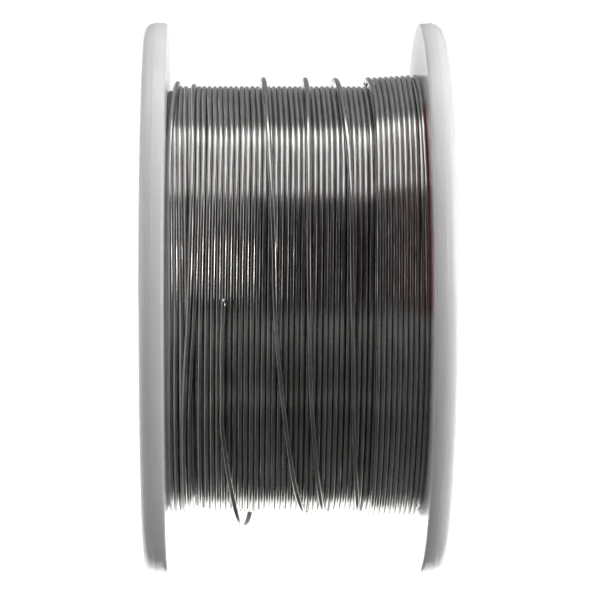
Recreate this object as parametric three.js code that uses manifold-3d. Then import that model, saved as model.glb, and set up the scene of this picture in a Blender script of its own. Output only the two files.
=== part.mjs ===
// A small spool of solder wire, in millimetres, +Z up.
// The spool's axis is X and the origin is the centre of its bore. It stands on its two rims.
// The spool is two moulded halves that push together in the middle of the drum.
import * as THREE from "three";
import { mergeVertices } from "three/addons/utils/BufferGeometryUtils.js";
import Module from "manifold-3d";

const wasm = await Module();
wasm.setup();

// Driving dimensions
const WIRE = 0.5;                  // diameter of the solder wire
const FLANGE_RADIUS = 25.8;
const HALF_WIDTH = 13.8;           // middle of the drum to the outside of a rim
const HALF_SPACE = 11.65;          // middle of the drum to the inner face of a flange
const DRUM_RADIUS = 14;
const DRUM_WALL = 1.6;
const BORE_RADIUS = 6;
const BORE_WALL = 1.4;
const WOUND_RADIUS = 19.6;         // outside of the level turns
const RAISED_RADIUS = 20.55;       // outside of the extra turns by the right flange
const RAISED_START = 7.5;          // x where those turns begin
const GAP = 0.3;                   // room between pieces that touch
const FACETS = 48;                 // a multiple of four, so that a flat facet faces straight down

// Details of the halves
const LIP_RADIUS = 24;             // inside of the raised rim on the outer face
const RECESS = 0.6;                // how far the outer face lies behind the rim
const FACE = HALF_WIDTH - RECESS;
const OUTER_CORNER = 0.9;          // rounding of the rim's outer edge
const INNER_CORNER = 0.3;          // rounding of its inner edge
const RIM_DRAFT = 0.1;             // the rim falls away by this on both sides of its parting line
const DRAFT = 0.2;                 // taper of the pockets around the bore tube
const BORE_CHAMFER = 0.3;
const FLOOR = 1.2;                 // thickness of the wall between bore tube and drum
const SPIGOT_FLOOR = 0.8;          // where that wall begins in the half with the spigot
const SPIGOT_LENGTH = 2;
const SPIGOT_WALL = 0.65;
const RIBS = 6;
const RIB_THICKNESS = 1;
const RIB_DROP = 0.4;              // how far the ribs stop short of the outer face
const SLOT = { angle: 2.2, radial: 2.6, across: 1.4 };   // the hole for the wire's first end

// Label
const LABEL = { inner: 6.6, outer: 23.4, thickness: 0.12, glue: 0.05 };   // radii, then along the axis

const DRUM_INSIDE = DRUM_RADIUS - DRUM_WALL;
const TUBE_RADIUS = BORE_RADIUS + BORE_WALL;
const SEAM = GAP / 2;
const SOCKET_FLOOR = SPIGOT_LENGTH + GAP + SEAM;

const plastic = { color: 0xe6e7ec, roughness: 0.32, metalness: 0 };
const solder = { color: 0x8e8f94, roughness: 0.3, metalness: 1 };
const paper = { color: 0xc9252b, roughness: 0.55, metalness: 0 };

// The loose turns, from where the wire leaves the raised turns to its free end. Each row is the
// angle gone round from the top over the back, then x, then the distance from the axis.
// Each of the first three turns keeps its line over the back and drifts left up the front.
const LOOSE_ROUTE = [
  [4, 6.95, 20.5], [45, 6.6, 20.25], [90, 6.4, 20.2], [135, 6.25, 20.2], [180, 5.95, 20.2],
  [203, 5.7, 20.2], [234, 5.1, 20.2], [269, 4.82, 20.2], [310, 4.67, 20.2], [334, 4.25, 20.3],
  [360, 3.87, 20.45], [400, 3.6, 20.25], [450, 3.4, 20.2], [500, 3.2, 20.2], [540, 2.95, 20.2],
  [560, 2.5, 20.2], [580, 1.88, 20.2], [609, 1.18, 20.2], [635, 1.0, 20.2], [665, 1.05, 20.2],
  [694, 1.15, 20.3], [720, 1.1, 20.5], [755, 1.07, 20.3], [800, 1.15, 20.2], [850, 1.25, 20.2],
  [890, 1.25, 20.35], [916, 0.8, 20.3], [933, 0.0, 20.25], [947, -0.6, 20.2], [966, -1.35, 20.2],
  [983, -1.89, 20.2], [1006, -2.1, 20.2], [1034, -2.45, 20.25], [1057, -2.67, 20.35],
  [1080, -2.8, 20.5], [1115, -2.93, 20.3], [1160, -3.08, 20.2], [1200, -3.28, 20.3],
  [1226, -3.58, 20.75], [1246, -4.05, 21.2], [1260, -4.58, 21.3], [1276, -5.14, 20.95],
  [1291, -5.74, 20.4], [1306, -6.29, 20.25], [1316, -6.62, 20.2], [1326, -6.6, 20.2],
  [1338, -6.62, 20.2], [1350, -6.48, 20.2],
];
const LOOSE_STEPS = 80;

// The wire's first end: out through the slot in the left half, then flat along its outer face.
const START = { lift: 0.05, bend: 1, length: 7, steps: 12 };

// A ring with this closed outline of [radius, x] corners, listed so that its faces point outwards.
function turned(outline) {
  const points = [...outline, outline[0]].map(([radius, x]) => new THREE.Vector2(radius, x));
  const geometry = new THREE.LatheGeometry(points, FACETS, Math.PI / FACETS);
  return geometry.rotateZ(-Math.PI / 2);
}

function ring(inner, outer, x0, x1) {
  return turned([[outer, x0], [outer, x1], [inner, x1], [inner, x0]]);
}

function arc(radius, x, size, from, to, steps) {
  return Array.from({ length: steps + 1 }, (_, i) => {
    const angle = from + ((to - from) * i) / steps;
    return [radius + size * Math.cos(angle), x + size * Math.sin(angle)];
  });
}

function toSolid(geometry) {
  const bare = geometry.clone();
  bare.deleteAttribute("normal");
  bare.deleteAttribute("uv");
  const merged = mergeVertices(bare);
  const vertProperties = new Float32Array(merged.attributes.position.array);
  const triVerts = new Uint32Array(merged.index.array);
  return new wasm.Manifold(new wasm.Mesh({ numProp: 3, vertProperties, triVerts }));
}

function toGeometry(solid) {
  const { vertProperties, triVerts } = solid.getMesh();
  const geometry = new THREE.BufferGeometry();
  geometry.setAttribute("position", new THREE.BufferAttribute(new Float32Array(vertProperties), 3));
  geometry.setIndex(new THREE.BufferAttribute(new Uint32Array(triVerts), 1));
  geometry.computeVertexNormals();
  return geometry;
}

function piece(name, geometry, finish) {
  const mesh = new THREE.Mesh(geometry, new THREE.MeshStandardMaterial(finish));
  mesh.name = name;
  return mesh;
}

// A half's outline, with s measured outwards from the middle of the drum.
function halfOutline(hasSpigot) {
  const floor = hasSpigot ? SPIGOT_FLOOR : SOCKET_FLOOR;
  const rimMiddle = (HALF_WIDTH + HALF_SPACE - OUTER_CORNER + INNER_CORNER) / 2;
  const rimEdge = FLANGE_RADIUS - RIM_DRAFT;
  const boreAndPocket = [
    [BORE_RADIUS, SEAM],
    [BORE_RADIUS, FACE - BORE_CHAMFER],
    [BORE_RADIUS + BORE_CHAMFER, FACE],
    [TUBE_RADIUS, FACE],
    [TUBE_RADIUS + DRAFT, floor + FLOOR],
    [DRUM_INSIDE - DRAFT, floor + FLOOR],
    [DRUM_INSIDE, FACE],
  ];
  const rim = [
    [LIP_RADIUS, FACE],
    [LIP_RADIUS + RIM_DRAFT, HALF_WIDTH],
    ...arc(rimEdge - OUTER_CORNER, HALF_WIDTH - OUTER_CORNER, OUTER_CORNER, Math.PI / 2, 0, 4),
    [FLANGE_RADIUS, rimMiddle],
    ...arc(rimEdge - INNER_CORNER, HALF_SPACE + INNER_CORNER, INNER_CORNER, 0, -Math.PI / 2, 2),
  ];
  const spigotRadius = DRUM_INSIDE + SPIGOT_WALL;
  const spigot = [
    [spigotRadius, SEAM],
    [spigotRadius, -SPIGOT_LENGTH],
    [DRUM_INSIDE, -SPIGOT_LENGTH],
    [DRUM_INSIDE, floor],
  ];
  const socket = [
    [spigotRadius + GAP, SEAM],
    [spigotRadius + GAP, floor],
  ];
  return [
    ...boreAndPocket,
    ...rim,
    [DRUM_RADIUS, HALF_SPACE],
    [DRUM_RADIUS, SEAM],
    ...(hasSpigot ? spigot : socket),
    [TUBE_RADIUS, floor],
    [TUBE_RADIUS, SEAM],
  ];
}

// One rib between the bore tube and the drum wall.
function rib(side, turn, start) {
  const overlap = 2 * DRAFT;
  const inner = TUBE_RADIUS - overlap;
  const length = DRUM_INSIDE + overlap - inner;
  const depth = FACE - RIB_DROP - start;
  const box = new THREE.BoxGeometry(depth, RIB_THICKNESS, length);
  box.translate(side * (start + depth / 2), 0, inner + length / 2);
  return box.rotateX(turn);
}

function startSlot(side) {
  const box = new THREE.BoxGeometry(2 * (HALF_WIDTH - HALF_SPACE) + 1, SLOT.across, SLOT.radial);
  box.translate(side * HALF_WIDTH, 0, DRUM_RADIUS + GAP + SLOT.radial / 2);
  return box.rotateX(SLOT.angle);
}

function spoolHalf(name, side) {
  const hasSpigot = side < 0;
  const outline = halfOutline(hasSpigot).map(([radius, s]) => [radius, side * s]);
  const facing = side < 0 ? outline : outline.reverse();
  let solid = toSolid(turned(facing));
  const ribStart = (hasSpigot ? SPIGOT_FLOOR : SOCKET_FLOOR) + FLOOR / 2;
  for (let i = 0; i < RIBS; i++) {
    solid = solid.add(toSolid(rib(side, (2 * Math.PI * i) / RIBS, ribStart)));
  }
  return piece(name, toGeometry(solid.subtract(toSolid(startSlot(side)))), plastic);
}

function faceLabel() {
  const back = FACE + LABEL.glue;
  return piece("face_label", ring(LABEL.inner, LABEL.outer, back, back + LABEL.thickness), paper);
}

function wireWinding() {
  const reach = HALF_SPACE - GAP;
  return piece("wire_winding", ring(DRUM_RADIUS + GAP, WOUND_RADIUS, -reach, reach), solder);
}

function wireRaisedTurns() {
  const inner = WOUND_RADIUS + GAP;
  return piece("wire_raised_turns", ring(inner, RAISED_RADIUS, RAISED_START, HALF_SPACE - GAP), solder);
}

// A wire along a smooth curve, with an eight-sided section.
function wireAlong(curve, steps) {
  const section = new THREE.Shape().absarc(0, 0, WIRE / 2, 0, 2 * Math.PI);
  const settings = { steps, curveSegments: 4, bevelEnabled: false, extrudePath: curve };
  return new THREE.ExtrudeGeometry(section, settings);
}

// The loose run's centreline: the route is smoothed as angle, x and radius, then rolled up.
class LooseRun extends THREE.Curve {
  constructor(route) {
    super();
    this.unrolled = new THREE.CatmullRomCurve3(route.map((row) => new THREE.Vector3(...row)));
  }

  getPoint(t) {
    const { x: degrees, y: x, z: radius } = this.unrolled.getPoint(t);
    const angle = THREE.MathUtils.degToRad(degrees);
    return new THREE.Vector3(x, radius * Math.sin(angle), radius * Math.cos(angle));
  }
}

function wireLooseTurns() {
  return piece("wire_loose_turns", wireAlong(new LooseRun(LOOSE_ROUTE), LOOSE_STEPS), solder);
}

function wireStartEnd() {
  const inside = DRUM_RADIUS + GAP + SLOT.radial / 2;
  const flat = FACE + START.lift + WIRE / 2;
  const route = [
    [HALF_SPACE - WIRE / 5, 0],
    [flat - START.bend, 0],
    [flat - START.bend / 4, START.bend / 4],
    [flat, START.bend],
    [flat, START.length / 2],
    [flat, START.length],
  ];
  const points = route.map(([s, out]) => new THREE.Vector3(-s, 0, inside + out));
  const geometry = wireAlong(new THREE.CatmullRomCurve3(points), START.steps);
  return piece("wire_start_end", geometry.rotateX(SLOT.angle), solder);
}

const spool = new THREE.Group();
spool.add(spoolHalf("spool_half_left", -1));
spool.add(spoolHalf("spool_half_right", 1));
spool.add(faceLabel());
spool.add(wireWinding());
spool.add(wireRaisedTurns());
spool.add(wireLooseTurns());
spool.add(wireStartEnd());

export default spool;
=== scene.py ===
import math
import random

import bmesh
import bpy
import numpy as np
from mathutils import Matrix, Vector


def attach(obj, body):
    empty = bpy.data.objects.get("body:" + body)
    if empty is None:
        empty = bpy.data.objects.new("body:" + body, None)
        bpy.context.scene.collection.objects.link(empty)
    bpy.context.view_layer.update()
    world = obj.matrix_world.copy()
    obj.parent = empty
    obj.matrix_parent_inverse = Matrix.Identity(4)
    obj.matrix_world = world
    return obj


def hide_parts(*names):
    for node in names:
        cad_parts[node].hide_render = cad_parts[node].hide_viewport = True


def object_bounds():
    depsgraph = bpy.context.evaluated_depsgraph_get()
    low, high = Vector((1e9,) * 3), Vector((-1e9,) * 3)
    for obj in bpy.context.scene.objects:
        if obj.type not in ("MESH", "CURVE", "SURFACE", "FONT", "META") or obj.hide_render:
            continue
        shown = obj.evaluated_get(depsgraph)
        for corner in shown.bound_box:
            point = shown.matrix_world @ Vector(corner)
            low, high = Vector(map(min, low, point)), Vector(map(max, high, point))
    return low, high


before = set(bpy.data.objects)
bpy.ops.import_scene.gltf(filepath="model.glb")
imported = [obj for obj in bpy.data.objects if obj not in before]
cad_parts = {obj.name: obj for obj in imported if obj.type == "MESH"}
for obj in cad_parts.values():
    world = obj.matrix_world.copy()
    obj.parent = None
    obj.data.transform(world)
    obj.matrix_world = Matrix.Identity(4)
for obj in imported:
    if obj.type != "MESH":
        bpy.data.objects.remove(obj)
cad_low, cad_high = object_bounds()

MM = 0.001
TURN = 2 * math.pi
rng = random.Random(7)

# Sizes in millimetres, shared with the CAD part
WIRE = 0.5
CAD_FACETS = 48
FLANGE_RADIUS = cad_high.z / MM / math.cos(math.pi / CAD_FACETS)
HALF_WIDTH = cad_high.x / MM
HALF_SPACE = 11.65
DRUM_RADIUS = 14.0
DRUM_INSIDE = 12.4
TUBE_RADIUS = 7.4
BORE_RADIUS = 6.0
LIP_RADIUS = 24.0
FACE = HALF_WIDTH - 0.6
OUTER_CORNER = 0.95
INNER_CORNER = 0.3
SEAM = 0.02                # half of the gap between the two halves
SPIGOT_RADIUS = 13.05
SPIGOT_LENGTH = 2.0
SOCKET_RADIUS = 13.1
SPIGOT_FLOOR = 0.8
SOCKET_FLOOR = 2.45
FLOOR = 1.2
RIBS = 6
RIB_THICK = 1.0
RIB_ROOT = 0.4             # how far a rib reaches into the walls that it joins
SLOT_TURN = 2.2            # radians round from the top over the front
SLOT_MIDDLE = DRUM_RADIUS + 1.6
SLOT_SIZE = (6, 1.4, 2.6)
LABEL_INSIDE = 6.6
LABEL_OUTSIDE = 23.4
LABEL_THICK = 0.12
LABEL_GAP = 0.04
BAND_LOW = -1.5            # the label's red band, as heights above the axis
BAND_HIGH = 18.0

# The winding
TOP_LAYER = 19.66          # centreline radius of the outermost level turns
LAYER_RISE = 0.433         # from one layer's centreline to the next
PITCH = 0.497
FURTHEST = HALF_SPACE - WIRE / 2
CORE_RADIUS = TOP_LAYER - LAYER_RISE - 0.33

# The camera looks level at the spool, from a little to the left of its middle
LENS = 192.2
CAMERA_PLACE = (-6.17, -300, -0.096)
CAMERA_TARGET = (0.665, 0, -0.096)


# ---------------------------------------------------------------- camera

def make_camera():
    data = bpy.data.cameras.new("camera")
    data.sensor_width = 36
    data.lens = LENS
    data.clip_start = 0.01
    data.clip_end = 20
    camera = bpy.data.objects.new("camera", data)
    bpy.context.scene.collection.objects.link(camera)
    camera.location = Vector(CAMERA_PLACE) * MM
    target = Vector(CAMERA_TARGET) * MM
    camera.rotation_euler = (target - camera.location).to_track_quat("-Z", "Y").to_euler()
    bpy.context.scene.camera = camera


# ---------------------------------------------------------------- mesh helpers

def smooth_rows(rows, count):
    """Rows of [angle, x, radius], resampled by a cubic through them at even angles."""
    rows = np.array(rows, float)
    t = rows[:, 0]
    slopes = np.gradient(rows, t, axis=0)
    at = np.linspace(t[0], t[-1], count)
    k = np.clip(np.searchsorted(t, at) - 1, 0, len(t) - 2)
    span = (t[k + 1] - t[k])[:, None]
    u = ((at - t[k]) / (t[k + 1] - t[k]))[:, None]
    a, b, da, db = rows[k], rows[k + 1], slopes[k] * span, slopes[k + 1] * span
    from_start = (2 * u**3 - 3 * u**2 + 1) * a + (u**3 - 2 * u**2 + u) * da
    return from_start + (3 * u**2 - 2 * u**3) * b + (u**3 - u**2) * db


def wound_points(rows):
    """Points of [degrees round from the top over the back, x, radius], in millimetres."""
    angle = np.radians(rows[:, 0])
    return np.c_[rows[:, 1], rows[:, 2] * np.sin(angle), rows[:, 2] * np.cos(angle)]


def tube_mesh(name, points, thick, sides, beside=None):
    """A round wire along points in millimetres, with closed ends.

    It goes round the X axis, or lies in the plane that has the vector beside across it.
    """
    along = np.gradient(points, axis=0)
    along /= np.linalg.norm(along, axis=1)[:, None]
    if beside is None:
        outward = points * [0, 1, 1]
    else:
        outward = np.tile(np.array(beside, float), (len(points), 1))
    outward -= along * np.sum(outward * along, axis=1)[:, None]
    outward /= np.linalg.norm(outward, axis=1)[:, None]
    across = np.cross(along, outward)
    turn = np.arange(sides) * TURN / sides
    rings = outward[:, None] * np.cos(turn)[None, :, None] + across[:, None] * np.sin(turn)[None, :, None]
    verts = (points[:, None] + rings * thick / 2).reshape(-1, 3) * MM
    n = len(points)
    i, j = np.meshgrid(np.arange(n - 1), np.arange(sides), indexing="ij")
    nxt = (j + 1) % sides
    quads = np.stack([i * sides + j, i * sides + nxt, (i + 1) * sides + nxt, (i + 1) * sides + j], -1)
    faces = quads.reshape(-1, 4).tolist()
    faces.append(list(range(sides - 1, -1, -1)))
    faces.append(list(range((n - 1) * sides, n * sides)))
    mesh = bpy.data.meshes.new(name)
    mesh.from_pydata(verts.tolist(), [], faces)
    mesh.polygons.foreach_set("use_smooth", [True] * len(faces))
    mesh.update()
    return mesh


def add_piece(name, mesh, material, slot, *nodes):
    piece = bpy.data.objects.new(name, mesh)
    bpy.context.scene.collection.objects.link(piece)
    mesh.materials.append(material)
    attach(piece, "root")
    if nodes:
        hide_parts(*nodes)
    return piece


def turned_mesh(name, outline, segments):
    """A closed ring with this outline of (radius, x) in millimetres, round the X axis."""
    outline = np.array(braced(outline), float)
    count = len(outline)
    turn = np.arange(segments) * TURN / segments
    radius = outline[None, :, 0]
    verts = np.stack(
        [
            np.broadcast_to(outline[None, :, 1], (segments, count)),
            radius * np.sin(turn)[:, None],
            radius * np.cos(turn)[:, None],
        ],
        -1,
    ).reshape(-1, 3) * MM
    i, j = np.meshgrid(np.arange(segments), np.arange(count), indexing="ij")
    ni, nj = (i + 1) % segments, (j + 1) % count
    quads = np.stack([i * count + j, i * count + nj, ni * count + nj, ni * count + j], -1)
    mesh = bpy.data.meshes.new(name)
    mesh.from_pydata(verts.tolist(), [], quads.reshape(-1, 4).tolist())
    face_outwards(mesh)
    return mesh


def face_outwards(mesh, sharp=35):
    """Faces point out, and edges that turn by more than sharp degrees stay crisp."""
    work = bmesh.new()
    work.from_mesh(mesh)
    bmesh.ops.recalc_face_normals(work, faces=work.faces)
    for edge in work.edges:
        edge.smooth = edge.calc_face_angle(0) < math.radians(sharp)
    for face in work.faces:
        face.smooth = True
    work.to_mesh(mesh)
    work.free()


def braced(outline, distance=0.08):
    """The closed outline with a point close to both ends of each long stretch, so that it shades flat."""
    result = []
    for a, b in zip(outline, outline[1:] + outline[:1]):
        result.append(a)
        part = distance / math.dist(a, b)
        if part < 0.2:
            result.append((a[0] + (b[0] - a[0]) * part, a[1] + (b[1] - a[1]) * part))
            result.append((b[0] + (a[0] - b[0]) * part, b[1] + (a[1] - b[1]) * part))
    return result


def rounded_box(name, size, centre, turn, corner):
    """A box with rounded edges, turned about the X axis, as a loose object for a cut or join."""
    work = bmesh.new()
    bmesh.ops.create_cube(work, size=1)
    bmesh.ops.scale(work, vec=Vector(size) * MM, verts=work.verts)
    bmesh.ops.bevel(work, geom=work.edges, offset=corner * MM, segments=3, profile=0.5, affect="EDGES")
    bmesh.ops.translate(work, vec=Vector(centre) * MM, verts=work.verts)
    bmesh.ops.rotate(work, cent=(0, 0, 0), matrix=Matrix.Rotation(turn, 3, "X"), verts=work.verts)
    mesh = bpy.data.meshes.new(name)
    work.to_mesh(mesh)
    work.free()
    box = bpy.data.objects.new(name, mesh)
    bpy.context.scene.collection.objects.link(box)
    return box


def combine(piece, other, operation):
    """Joins the other object to the piece, or cuts it away, and removes it."""
    modifier = piece.modifiers.new("combine", "BOOLEAN")
    modifier.operation = operation
    modifier.solver = "EXACT"
    modifier.object = other
    seen = piece.evaluated_get(bpy.context.evaluated_depsgraph_get())
    result = bpy.data.meshes.new_from_object(seen)
    piece.modifiers.remove(modifier)
    piece.data = result
    bpy.data.objects.remove(other)


# ---------------------------------------------------------------- node helpers

class Nodes:
    """Short calls for building one material's node tree."""

    def __init__(self, name):
        self.material = bpy.data.materials.new(name)
        self.material.use_nodes = True
        self.tree = self.material.node_tree
        self.bsdf = self.tree.nodes["Principled BSDF"]

    @classmethod
    def for_tree(cls, tree):
        nodes = cls.__new__(cls)
        nodes.tree = tree
        return nodes

    def add(self, kind, **settings):
        node = self.tree.nodes.new(kind)
        for key, value in settings.items():
            setattr(node, key, value)
        return node

    def link(self, a, b):
        self.tree.links.new(a, b)

    def put(self, socket, value):
        if isinstance(value, bpy.types.NodeSocket):
            self.link(value, socket)
        else:
            socket.default_value = value

    def math(self, operation, a, b=0.0):
        node = self.add("ShaderNodeMath", operation=operation)
        self.put(node.inputs[0], a)
        self.put(node.inputs[1], b)
        return node.outputs[0]

    def noise(self, vector, scale, detail=3.0, roughness=0.5):
        node = self.add("ShaderNodeTexNoise")
        self.put(node.inputs["Vector"], vector)
        node.inputs["Scale"].default_value = scale
        node.inputs["Detail"].default_value = detail
        node.inputs["Roughness"].default_value = roughness
        return node.outputs["Fac"]

    def ramp(self, value, low, high, out_low=0.0, out_high=1.0):
        node = self.add("ShaderNodeMapRange", clamp=True)
        self.put(node.inputs["Value"], value)
        node.inputs["From Min"].default_value = low
        node.inputs["From Max"].default_value = high
        node.inputs["To Min"].default_value = out_low
        node.inputs["To Max"].default_value = out_high
        return node.outputs["Result"]

    def mix(self, factor, a, b):
        node = self.add("ShaderNodeMix", data_type="RGBA")
        self.put(node.inputs[0], factor)
        self.put(node.inputs[6], a)
        self.put(node.inputs[7], b)
        return node.outputs[2]

    def place(self):
        """The point's object coordinates in millimetres, whole and as x, y and z."""
        coordinates = self.add("ShaderNodeTexCoord").outputs["Object"]
        scaled = self.add("ShaderNodeVectorMath", operation="SCALE")
        self.link(coordinates, scaled.inputs[0])
        scaled.inputs["Scale"].default_value = 1 / MM
        apart = self.add("ShaderNodeSeparateXYZ")
        self.link(scaled.outputs[0], apart.inputs[0])
        return scaled.outputs[0], apart.outputs[0], apart.outputs[1], apart.outputs[2]

    def vector(self, x, y, z):
        node = self.add("ShaderNodeCombineXYZ")
        self.put(node.inputs[0], x)
        self.put(node.inputs[1], y)
        self.put(node.inputs[2], z)
        return node.outputs[0]

    def from_axis(self, y, z):
        """The distance from the X axis."""
        squares = self.math("ADD", self.math("MULTIPLY", y, y), self.math("MULTIPLY", z, z))
        return self.math("SQRT", squares)

    def bump(self, height, strength, distance):
        node = self.add("ShaderNodeBump")
        node.inputs["Strength"].default_value = strength
        node.inputs["Distance"].default_value = distance
        self.link(height, node.inputs["Height"])
        return node.outputs["Normal"]


def solder_material():
    """Drawn solder: bright grey metal with streaks along the wire, dull patches and pale nicks."""
    n = Nodes("solder_wire")
    _, x, y, z = n.place()
    radius = n.from_axis(y, z)
    angle = n.math("ARCTAN2", y, z)

    def grain(across, outwards, along, detail=3.0):
        """Noise that is this fine across the turns, outwards and along the wire."""
        where = n.vector(
            n.math("MULTIPLY", x, across),
            n.math("MULTIPLY", radius, outwards),
            n.math("MULTIPLY", angle, along),
        )
        return n.noise(where, 1.0, detail)

    streaks = grain(14, 14, 3)
    patches = grain(2.2, 1, 6)
    nicks = grain(9, 9, 160, 2.0)
    shade = n.mix(n.ramp(patches, 0.35, 0.65), (0.395, 0.385, 0.375, 1), (0.50, 0.495, 0.49, 1))
    shade = n.mix(n.ramp(streaks, 0.4, 0.75, 0.0, 0.35), shade, (0.30, 0.295, 0.29, 1))
    shade = n.mix(n.ramp(nicks, 0.68, 0.76, 0.0, 0.5), shade, (0.8, 0.8, 0.8, 1))
    n.link(shade, n.bsdf.inputs["Base Color"])
    n.bsdf.inputs["Metallic"].default_value = 1.0
    n.link(n.ramp(streaks, 0.3, 0.7, 0.12, 0.22), n.bsdf.inputs["Roughness"])
    n.link(n.bump(streaks, 0.25, 0.00003), n.bsdf.inputs["Normal"])
    return n.material


def core_painted_shade_material():
    """Painted shade: the inner layers' ring is coloured dull near-black, not the solder's grey, for the
    dark depth between the turns.
    """
    n = Nodes("solder_core_painted_shade")
    place, _, _, _ = n.place()
    grain = n.noise(place, 2.0)
    # Painted shade: near-black greys stand in for the shade deep between the turns.
    n.link(n.mix(grain, (0.05, 0.05, 0.05, 1), (0.12, 0.12, 0.12, 1)), n.bsdf.inputs["Base Color"])
    n.bsdf.inputs["Roughness"].default_value = 0.6
    return n.material


def plastic_material(name, shows_label):
    """Milky white moulded plastic. On the labelled half the label's red band shows through."""
    n = Nodes(name)
    place, x, y, z = n.place()
    cloud = n.noise(place, 0.12, 2.0)
    fine = n.noise(place, 9.0, 4.0, 0.6)
    colour = n.mix(cloud, (0.88, 0.87, 0.915, 1), (0.93, 0.92, 0.95, 1))
    if shows_label:
        radius = n.from_axis(y, z)
        within = n.ramp(radius, LABEL_OUTSIDE - 1.0, LABEL_OUTSIDE + 0.8, 1, 0)
        inside = n.math("MULTIPLY", within, n.ramp(x, FACE - 0.3, FACE + 0.1, 1, 0))
        above = n.ramp(z, BAND_LOW - 0.7, BAND_LOW + 0.7)
        below = n.ramp(z, BAND_HIGH - 0.8, BAND_HIGH + 0.6, 1, 0)
        band = n.math("MULTIPLY", above, below)
        clear_of_wire = n.math("MULTIPLY", n.ramp(radius, 18.0, 19.5), 0.75)
        through = n.math("MULTIPLY", n.math("MULTIPLY", inside, band), clear_of_wire)
        colour = n.mix(through, colour, (0.66, 0.2, 0.2, 1))
    n.link(colour, n.bsdf.inputs["Base Color"])
    n.link(n.ramp(fine, 0.3, 0.7, 0.16, 0.26), n.bsdf.inputs["Roughness"])
    n.bsdf.inputs["Specular IOR Level"].default_value = 0.3
    n.bsdf.inputs["Subsurface Weight"].default_value = 1.0
    n.bsdf.inputs["Subsurface Radius"].default_value = (1.0, 0.95, 1.0)
    n.bsdf.inputs["Subsurface Scale"].default_value = 0.004
    n.link(n.bump(fine, 0.08, 0.00003), n.bsdf.inputs["Normal"])
    return n.material


def label_material():
    """White coated paper with one broad red band and three thin grey lines below it."""
    n = Nodes("label_paper")
    place, _, y, z = n.place()
    fibre = n.noise(place, 6.0, 4.0, 0.6)
    white = n.mix(fibre, (0.80, 0.79, 0.77, 1), (0.88, 0.87, 0.86, 1))
    red = n.mix(fibre, (0.52, 0.035, 0.045, 1), (0.60, 0.05, 0.06, 1))
    above = n.ramp(z, BAND_LOW - 0.05, BAND_LOW + 0.05)
    below = n.ramp(z, BAND_HIGH - 0.05, BAND_HIGH + 0.05, 1, 0)
    colour = n.mix(n.math("MULTIPLY", above, below), white, red)
    for height in (-9.2, -12.4, -15.6):
        line = n.ramp(n.math("ABSOLUTE", n.math("SUBTRACT", z, height)), 0.08, 0.14, 1, 0)
        width = n.ramp(n.math("ABSOLUTE", y), 10.0, 10.1, 1, 0)
        colour = n.mix(n.math("MULTIPLY", line, width), colour, (0.16, 0.16, 0.18, 1))
    n.link(colour, n.bsdf.inputs["Base Color"])
    n.bsdf.inputs["Roughness"].default_value = 0.42
    n.link(n.bump(fibre, 0.12, 0.00005), n.bsdf.inputs["Normal"])
    return n.material


# ---------------------------------------------------------------- the loose run

# The route that the CAD tube follows: degrees round from the top over the back, x, radius.
LOOSE_ROUTE = [
    [4, 6.95, 20.5], [45, 6.6, 20.25], [90, 6.4, 20.2], [135, 6.25, 20.2], [180, 5.95, 20.2],
    [203, 5.7, 20.2], [234, 5.1, 20.2], [269, 4.82, 20.2], [310, 4.67, 20.2], [334, 4.25, 20.3],
    [360, 3.87, 20.45], [400, 3.6, 20.25], [450, 3.4, 20.2], [500, 3.2, 20.2], [540, 2.95, 20.2],
    [560, 2.5, 20.2], [580, 1.88, 20.2], [609, 1.18, 20.2], [635, 1.0, 20.2], [665, 1.05, 20.2],
    [694, 1.15, 20.3], [720, 1.1, 20.5], [755, 1.07, 20.3], [800, 1.15, 20.2], [850, 1.25, 20.2],
    [890, 1.25, 20.35], [916, 0.8, 20.3], [933, 0.0, 20.25], [947, -0.6, 20.2], [966, -1.35, 20.2],
    [983, -1.89, 20.2], [1006, -2.1, 20.2], [1034, -2.45, 20.25], [1057, -2.67, 20.35],
    [1080, -2.8, 20.5], [1115, -2.93, 20.3], [1160, -3.08, 20.2], [1200, -3.28, 20.3],
    [1226, -3.58, 20.75], [1246, -4.05, 21.2], [1260, -4.58, 21.3], [1276, -5.14, 20.95],
    [1291, -5.74, 20.4], [1306, -6.29, 20.25], [1316, -6.62, 20.2], [1326, -6.6, 20.2],
    [1338, -6.62, 20.2], [1350, -6.48, 20.2],
]


def run_length(points):
    return float(np.linalg.norm(np.diff(points, axis=0), axis=1).sum()) * MM


def make_loose_run(material):
    points = wound_points(smooth_rows(LOOSE_ROUTE, 700))
    mesh = tube_mesh("solder_loose_run", points, WIRE, 12)
    piece = add_piece("solder_loose_run", mesh, material, "solder", "wire_loose_turns")
    print("loose run", round(run_length(points), 4), "m")


# ---------------------------------------------------------------- level turns

def wander(size, waves=4):
    """A small smooth wobble along a run of turns, in millimetres, as a function of degrees."""
    parts = []
    for _ in range(waves):
        parts.append((rng.uniform(0.4, 3.2), rng.uniform(0, TURN), size * rng.uniform(0.3, 1)))

    def value(degrees):
        angle = np.radians(degrees)
        return sum(amount * np.sin(angle * rate + start) for rate, start, amount in parts) / waves
    return value


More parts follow.
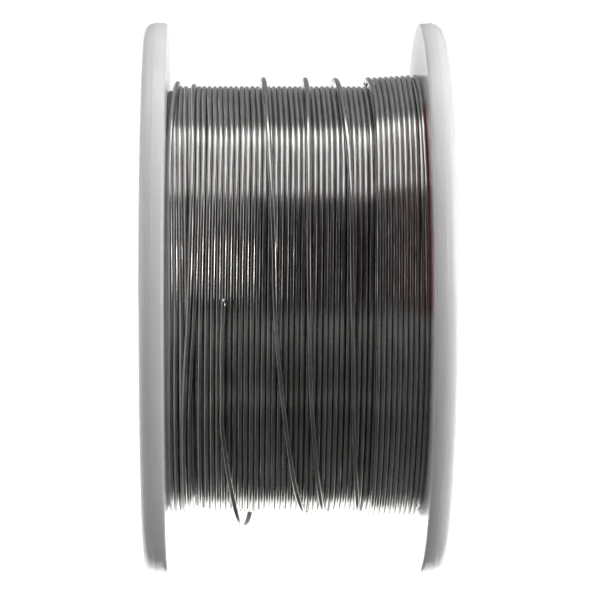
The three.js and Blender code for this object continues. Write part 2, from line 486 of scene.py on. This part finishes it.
# How the first turns lie, from the left flange. Each row follows one turn from the top over the
# back and up the front to the top again: x at these angles, then how far it stands proud of the
# layer. They crowd and cross where the layer begins.
FIRST_ANGLES = [90, 200, 243, 270, 315, 340, 360]
FIRST_TURNS = [
    ([-11.35, -11.2, -11.2, -11.12, -11.22, -10.92, -10.73], [0, 0, 0, 0, 0.1, 0.38, 0.45]),
    ([-10.75, -10.73, -10.75, -10.68, -10.85, -10.9, -11.0], [0.45, 0, 0, 0, 0, 0, 0]),
    ([-10.6, -10.2, -10.2, -10.2, -10.42, -10.45, -10.5], [0, 0, 0, 0, 0, 0, 0]),
    ([-10.15, -9.72, -9.72, -9.72, -9.93, -9.98, -10.0], [0, -0.1, -0.1, -0.05, 0, 0, 0]),
    ([-9.65, -9.2, -9.3, -9.4, -9.5, -9.55, -9.6], [-0.1, -0.43, -0.43, -0.35, -0.2, -0.15, -0.15]),
    ([-9.3, -10.0, -9.97, -9.51, -9.25, -9.3, -9.22], [0.1, 0.2, 0.35, 0.25, 0.2, 0.2, 0.2]),
    ([-8.85, -9.5, -9.49, -9.01, -8.76, -8.8, -8.74], [0.1, 0, 0, 0, 0, 0, 0]),
    ([-8.5, -8.62, -8.62, -8.5, -8.25, -8.3, -8.27], [0, 0, 0, 0, 0, 0, 0]),
]

# How far each of the other turns lies from its own x at the top, at these angles.
LEAN_ANGLES = [90, 200, 235, 270, 298, 318, 340, 360]
LEAN = [-0.38, -0.23, -0.25, -0.18, -0.03, 0.07, -0.03, 0]
REGULAR_START = -8.27


def make_level_turns(material):
    """The outermost level layer: it climbs to the right by one pitch each turn."""
    rows = []
    for turn, (places, lifts) in enumerate(FIRST_TURNS):
        for angle, x, lift in zip(FIRST_ANGLES, places, lifts):
            rows.append([360 * turn + angle, x, TOP_LAYER + lift])
    count = math.ceil((FURTHEST - REGULAR_START) / PITCH)
    for turn in range(1, count + 1):
        shift, rise = rng.uniform(-0.02, 0.02), rng.uniform(-0.015, 0.015)
        for angle, lean in zip(LEAN_ANGLES, LEAN):
            x = REGULAR_START + PITCH * turn + lean + shift
            rows.append([360 * (len(FIRST_TURNS) - 1 + turn) + angle, x, TOP_LAYER + rise])
    rows = smooth_rows(rows, 120 * (count + len(FIRST_TURNS)))
    rows[:, 1] = np.clip(rows[:, 1] + wander(0.02)(rows[:, 0]), -FURTHEST, FURTHEST)
    rows[:, 2] += wander(0.02)(rows[:, 0] * 1.3)
    mesh = tube_mesh("solder_level_turns", wound_points(rows), WIRE, 12)
    add_piece("solder_level_turns", mesh, material, "solder", "wire_winding")


def make_under_turns(material):
    """The layer below, which shows through the gaps and climbs the other way."""
    count = math.ceil(2 * FURTHEST / PITCH) + 1
    angle = np.linspace(0, 360 * count, 96 * count + 1)
    x = np.clip(FURTHEST - PITCH * angle / 360, -FURTHEST, FURTHEST)
    radius = np.full_like(x, TOP_LAYER - LAYER_RISE)
    mesh = tube_mesh("solder_under_turns", wound_points(np.c_[angle, x, radius]), WIRE, 8)
    add_piece("solder_under_turns", mesh, material, "solder", "wire_winding")


def make_core(material):
    """The many layers further in, as one ring."""
    inside = DRUM_RADIUS + 0.05
    outline = [
        (inside, -FURTHEST),
        (CORE_RADIUS, -FURTHEST),
        (CORE_RADIUS, FURTHEST),
        (inside, FURTHEST),
    ]
    mesh = turned_mesh("solder_inner_layers", outline, 128)
    add_piece("solder_inner_layers", mesh, material, "solder", "wire_winding")


# ---------------------------------------------------------------- raised turns

RAISED_TURNS = 10
RAISED_TOP = (7.0, 0.53, 11.3)       # x of the last turn at the top, the step to the next, the furthest
RAISED_FRONT = (7.22, 0.48, 11.4)    # the same on the front
RAISED_LOW = 20.1                    # centreline radius where the turns lie on the layer below
CREST_PLACES = [7, 11.4]             # at the top they stand prouder towards the flange: x, then radius
CREST_RADII = [20.45, 20.75]
SUNK_TURN = 1                        # the second turn lies lower at the top, against the flange
SUNK_CREST = (11.08, 20.35)
RAISED_ANGLES = LEAN_ANGLES[1:-1]
RAISED_LEAN = [-0.1, -0.13, -0.11, 0, 0.1, 0]


def make_raised_turns(material):
    """The extra layer from the right flange back to where the loose run leaves it."""
    top, top_step, top_limit = RAISED_TOP
    front, front_step, front_limit = RAISED_FRONT
    rows = []
    for turn in range(RAISED_TURNS):
        left = RAISED_TURNS - 1 - turn
        shift = rng.uniform(-0.02, 0.02)
        crest = min(top + top_step * left, top_limit)
        crest_radius = np.interp(crest, CREST_PLACES, CREST_RADII)
        if turn == SUNK_TURN:
            crest, crest_radius = SUNK_CREST
        rise = crest_radius - RAISED_LOW
        for angle, lean in zip(RAISED_ANGLES, RAISED_LEAN):
            x = min(front + front_step * left + lean + shift, front_limit)
            proud = max(0, math.cos(math.radians(angle)))
            rows.append([360 * turn + angle, x, RAISED_LOW + rise * proud])
        if left > 0:
            at_top = 360 * (turn + 1)
            rows.append([at_top, crest, crest_radius])
            rows.append([at_top + 40, crest - 0.05, RAISED_LOW + rise * 0.6])
            rows.append([at_top + 120, crest - 0.25, RAISED_LOW])
    angle, x, radius = LOOSE_ROUTE[0]
    rows.append([360 * RAISED_TURNS - 8, x + 0.04, radius])
    rows.append([360 * RAISED_TURNS + angle, x, radius])
    points = wound_points(smooth_rows(rows, 120 * RAISED_TURNS))
    mesh = tube_mesh("solder_raised_turns", points, WIRE, 12)
    add_piece("solder_raised_turns", mesh, material, "solder", "wire_raised_turns")


# ---------------------------------------------------------------- the first end

# Where it lies flat on the outer face, and its route as x and the distance outwards from the slot
START_LIE = FACE + WIRE / 2 + 0.02
START_ROUTE = [
    (HALF_SPACE - 0.1, 0), (12.2, 0.02), (12.8, 0.12), (13.2, 0.4), (START_LIE, 0.95),
    (START_LIE, 1.7), (START_LIE, 3.5), (START_LIE + 0.02, 5.2), (START_LIE + 0.05, 7),
]


def make_start_end(material):
    """The wire's first end: out through the slot in the left half, then flat on its outer face."""
    rows = smooth_rows([[i, -x, out] for i, (x, out) in enumerate(START_ROUTE)], 60)
    out = SLOT_MIDDLE + rows[:, 2]
    points = np.c_[rows[:, 1], -out * math.sin(SLOT_TURN), out * math.cos(SLOT_TURN)]
    beside = (0, math.cos(SLOT_TURN), math.sin(SLOT_TURN))
    mesh = tube_mesh("solder_start_end", points, WIRE, 14, beside)
    add_piece("solder_start_end", mesh, material, "solder", "wire_start_end")


# ---------------------------------------------------------------- spool halves

def arc(radius, x, size, start, end, steps):
    """Points of (radius, x) on an arc of this size about a centre, between two angles in degrees."""
    return [
        (radius + size * math.cos(math.radians(start + (end - start) * i / steps)),
         x + size * math.sin(math.radians(start + (end - start) * i / steps)))
        for i in range(steps + 1)
    ]


def rim_outline():
    """From the recessed outer face round the rim to the inner face, with x measured outwards."""
    middle = (HALF_WIDTH + HALF_SPACE) / 2
    edge = FLANGE_RADIUS - 0.08
    flash = 0.04
    return [
        *arc(LIP_RADIUS - 0.2, FACE + 0.2, 0.2, -90, 0, 4),
        *arc(LIP_RADIUS + 0.2, HALF_WIDTH - 0.2, 0.2, 180, 90, 5),
        *arc(edge - OUTER_CORNER, HALF_WIDTH - OUTER_CORNER, OUTER_CORNER, 90, 3, 12),
        (FLANGE_RADIUS - 0.03, middle + 2 * flash),
        (FLANGE_RADIUS, middle + flash),
        (FLANGE_RADIUS, middle - flash),
        (FLANGE_RADIUS - 0.03, middle - 2 * flash),
        *arc(edge - INNER_CORNER, HALF_SPACE + INNER_CORNER, INNER_CORNER, -3, -90, 6),
    ]


def half_outline(has_spigot):
    """One half's closed outline from the bore over the ribs' pocket, the rim and the drum."""
    floor = SPIGOT_FLOOR if has_spigot else SOCKET_FLOOR
    spigot = [
        (SPIGOT_RADIUS, SEAM),
        (SPIGOT_RADIUS, -SPIGOT_LENGTH),
        (DRUM_INSIDE, -SPIGOT_LENGTH),
        (DRUM_INSIDE, floor),
    ]
    socket = [(SOCKET_RADIUS, SEAM), (SOCKET_RADIUS, floor)]
    return [
        (BORE_RADIUS, SEAM),
        *arc(BORE_RADIUS + 0.3, FACE - 0.3, 0.3, 180, 90, 5),
        *arc(TUBE_RADIUS - 0.15, FACE - 0.15, 0.15, 90, 0, 3),
        *arc(TUBE_RADIUS + 0.55, floor + 1.6, 0.35, 180, 270, 4),
        *arc(DRUM_INSIDE - 0.55, floor + 1.6, 0.35, 270, 360, 4),
        *arc(DRUM_INSIDE + 0.15, FACE - 0.15, 0.15, 180, 90, 3),
        *rim_outline(),
        (DRUM_RADIUS + 0.4, HALF_SPACE),
        (DRUM_RADIUS, HALF_SPACE - 0.4),
        (DRUM_RADIUS, SEAM),
        *(spigot if has_spigot else socket),
        (TUBE_RADIUS, floor),
        (TUBE_RADIUS, SEAM),
    ]


def make_half(name, side, material, node):
    """A flange with its half of the drum and the bore tube, the ribs between them, and the slot."""
    has_spigot = side < 0
    outline = [(radius, side * x) for radius, x in half_outline(has_spigot)]
    half = add_piece(name, turned_mesh(name, outline, 192), material, "spool_plastic", node)
    start = (SPIGOT_FLOOR if has_spigot else SOCKET_FLOOR) + FLOOR / 2
    depth = FACE - 0.4 - start
    inner, outer = TUBE_RADIUS - RIB_ROOT, DRUM_INSIDE + RIB_ROOT
    size = (depth, RIB_THICK, outer - inner)
    centre = (side * (start + depth / 2), 0, (inner + outer) / 2)
    for i in range(RIBS):
        combine(half, rounded_box("rib", size, centre, TURN * i / RIBS, 0.2), "UNION")
    slot = rounded_box("slot", SLOT_SIZE, (side * HALF_WIDTH, 0, SLOT_MIDDLE), SLOT_TURN, 0.3)
    combine(half, slot, "DIFFERENCE")
    face_outwards(half.data)


def make_label(material):
    back = FACE + LABEL_GAP
    front = back + LABEL_THICK
    outline = [(LABEL_INSIDE, back), (LABEL_INSIDE, front), (LABEL_OUTSIDE, front), (LABEL_OUTSIDE, back)]
    mesh = turned_mesh("paper_label", outline, 192)
    add_piece("paper_label", mesh, material, "label_paper", "face_label")


# ---------------------------------------------------------------- stage

FLOOR_REACH = 12.0         # metres from the middle to each edge

# How strongly the floor glows in reflections
UNDER_GLOW = 0.06
BEHIND_GLOW = 2.1
FLANGE_SHARE = 0.7         # below the flanges, as a share of the glow below the winding
NEAR_GLOW = 0.05
STRIP_GLOW = 0.08
FRONT_GLOW = 0.16
RIGHT_GLOW = 2.0
LEFT_GLOW = 0.8

# How strongly the surroundings glow in reflections
FRONT_LIGHT = 0.06
BACK_LIGHT = 0.33
LOW_BACK_LIGHT = 0.7
RIGHT_LIGHT = 2.7
LEFT_LIGHT = 1.2
ABOVE_LIGHT = 0.16


def make_floor():
    """A pale floor: white to the camera, and to reflections bright behind the spool, dim in front.

    Its ramps are in millimetres from the spool's middle.
    """
    n = Nodes("floor_white")
    _, x, y, _ = n.place()
    from_camera = n.add("ShaderNodeLightPath").outputs["Is Camera Ray"]
    away = n.math("ABSOLUTE", x)

    # Below the flanges the bright part starts further forward than below the winding. The low glow under
    # the winding is the spool's painted shadow on the floor.
    edge = n.math("ADD", y, n.ramp(away, 10.5, 12.0, 0.0, 9.0))
    share = n.ramp(away, 10.5, 12.0, 1.0, FLANGE_SHARE)
    behind = n.math("MULTIPLY", n.ramp(edge, 1.0, 3.2, UNDER_GLOW, BEHIND_GLOW), share)

    near = n.ramp(y, -20.0, -8.0, 0.0, NEAR_GLOW)
    strip = n.math("MULTIPLY", n.ramp(y, -33.0, -31.0, 0.0, STRIP_GLOW), n.ramp(y, -28.0, -25.0, 1.0, 0.0))
    fading = n.ramp(y, -80.0, -35.0, 1.0, 0.1)
    beyond = n.math("MULTIPLY", n.ramp(y, -220.0, -130.0, 0.02, FRONT_GLOW), fading)
    front = n.math("ADD", n.math("ADD", near, strip), beyond)

    right = n.ramp(x, 16.0, 25.0, 0.0, RIGHT_GLOW)
    left = n.ramp(x, -25.0, -16.0, LEFT_GLOW, 0.0)
    side = n.math("MULTIPLY", n.math("ADD", right, left), n.ramp(y, -26.0, -8.0))

    glow = n.math("MAXIMUM", n.math("ADD", behind, front), side)
    reflected = n.math("MULTIPLY", n.math("SUBTRACT", 1.0, from_camera), glow)
    strength = n.math("ADD", n.math("MULTIPLY", from_camera, 1.05), reflected)
    n.link(strength, n.bsdf.inputs["Emission Strength"])
    n.bsdf.inputs["Emission Color"].default_value = (0.975, 1, 0.97, 1)
    colour = n.mix(from_camera, (0.02, 0.02, 0.02, 1), (0.9, 0.9, 0.9, 1))
    n.link(colour, n.bsdf.inputs["Base Color"])
    n.bsdf.inputs["Specular IOR Level"].default_value = 0.0

    mesh = bpy.data.meshes.new("floor")
    corners = [(-1, -1), (1, -1), (1, 1), (-1, 1)]
    verts = [(a * FLOOR_REACH, b * FLOOR_REACH, cad_low.z) for a, b in corners]
    mesh.from_pydata(verts, [], [(0, 1, 2, 3)])
    floor = bpy.data.objects.new("floor", mesh)
    bpy.context.scene.collection.objects.link(floor)
    mesh.materials.append(n.material)


def make_world():
    """Pale surroundings: white to the camera, and to reflections bright at the sides, dim in front.

    Its ramps are in parts of the direction looked in, from -1 to 1.
    """
    world = bpy.data.worlds.new("studio")
    bpy.context.scene.world = world
    world.use_nodes = True
    n = Nodes.for_tree(world.node_tree)
    apart = n.add("ShaderNodeSeparateXYZ")
    n.link(n.add("ShaderNodeTexCoord").outputs["Generated"], apart.inputs[0])
    x, y, z = apart.outputs
    centre = n.ramp(n.math("ABSOLUTE", x), 0.2, 0.6, 1.0, 0.15)
    back = n.math("MULTIPLY", n.ramp(y, -0.1, 0.5, FRONT_LIGHT, BACK_LIGHT), centre)
    low_back = n.math("MULTIPLY", n.ramp(y, 0.5, 0.9), n.ramp(z, 0.12, 0.24, LOW_BACK_LIGHT, 0.0))
    right = n.ramp(x, 0.72, 0.92, 0.0, RIGHT_LIGHT)
    left = n.ramp(x, -0.95, -0.82, LEFT_LIGHT, 0.0)
    above = n.ramp(z, 0.55, 0.95, 0.0, ABOVE_LIGHT)
    glow = n.math("ADD", n.math("ADD", back, low_back), n.math("ADD", right, n.math("ADD", left, above)))
    lit = n.tree.nodes["Background"]
    n.link(n.mix(n.ramp(y, -0.2, 0.3), (1, 0.98, 0.985, 1), (0.96, 1, 0.985, 1)), lit.inputs["Color"])
    n.link(glow, lit.inputs["Strength"])
    seen = n.add("ShaderNodeBackground")
    seen.inputs["Color"].default_value = (1, 1, 1, 1)
    seen.inputs["Strength"].default_value = 1.1
    mix = n.add("ShaderNodeMixShader")
    n.link(n.add("ShaderNodeLightPath").outputs["Is Camera Ray"], mix.inputs[0])
    n.link(lit.outputs[0], mix.inputs[1])
    n.link(seen.outputs[0], mix.inputs[2])
    n.link(mix.outputs[0], n.tree.nodes["World Output"].inputs["Surface"])


def add_panel(name, location, target, width, height, power, colour=(1, 1, 1)):
    data = bpy.data.lights.new(name, "AREA")
    data.shape = "RECTANGLE"
    data.size = width
    data.size_y = height
    data.energy = power
    data.color = colour
    light = bpy.data.objects.new(name, data)
    bpy.context.scene.collection.objects.link(light)
    light.location = location
    light.rotation_euler = (Vector(target) - Vector(location)).to_track_quat("-Z", "Y").to_euler()
    return light


def make_lights():
    """Two panels above the spool, a warm lamp on the right, and a fill that reflections leave out."""
    add_panel("overhead", (0, 0.085, 0.6), (0, 0.085, 0), 0.66, 0.11, 0.66)
    add_panel("overhead_front", (0, -0.18, 0.6), (0, -0.18, 0), 0.66, 0.42, 1.35)
    fill = add_panel("right_fill", (0.55, -0.2, 0.0), (0, 0, 0), 0.2, 0.3, 0.8, (0.97, 0.97, 1))
    fill.visible_glossy = False
    add_panel("right_lamp", (0.56, -0.22, 0.14), (0, 0, 0), 0.10, 0.16, 0.45, (1, 0.96, 0.9))


# ---------------------------------------------------------------- build

make_camera()
solder = solder_material()
make_loose_run(solder)
make_level_turns(solder)
make_under_turns(solder)
# The inner layers' ring takes the painted shade material, not the solder.
make_core(core_painted_shade_material())
make_raised_turns(solder)
make_start_end(solder)
make_half("spool_left", -1, plastic_material("spool_plastic", False), "spool_half_left")
make_half("spool_right", 1, plastic_material("spool_plastic_labelled", True), "spool_half_right")
make_label(label_material())
make_floor()
make_world()
make_lights()
bpy.context.scene.view_settings.view_transform = "Standard"
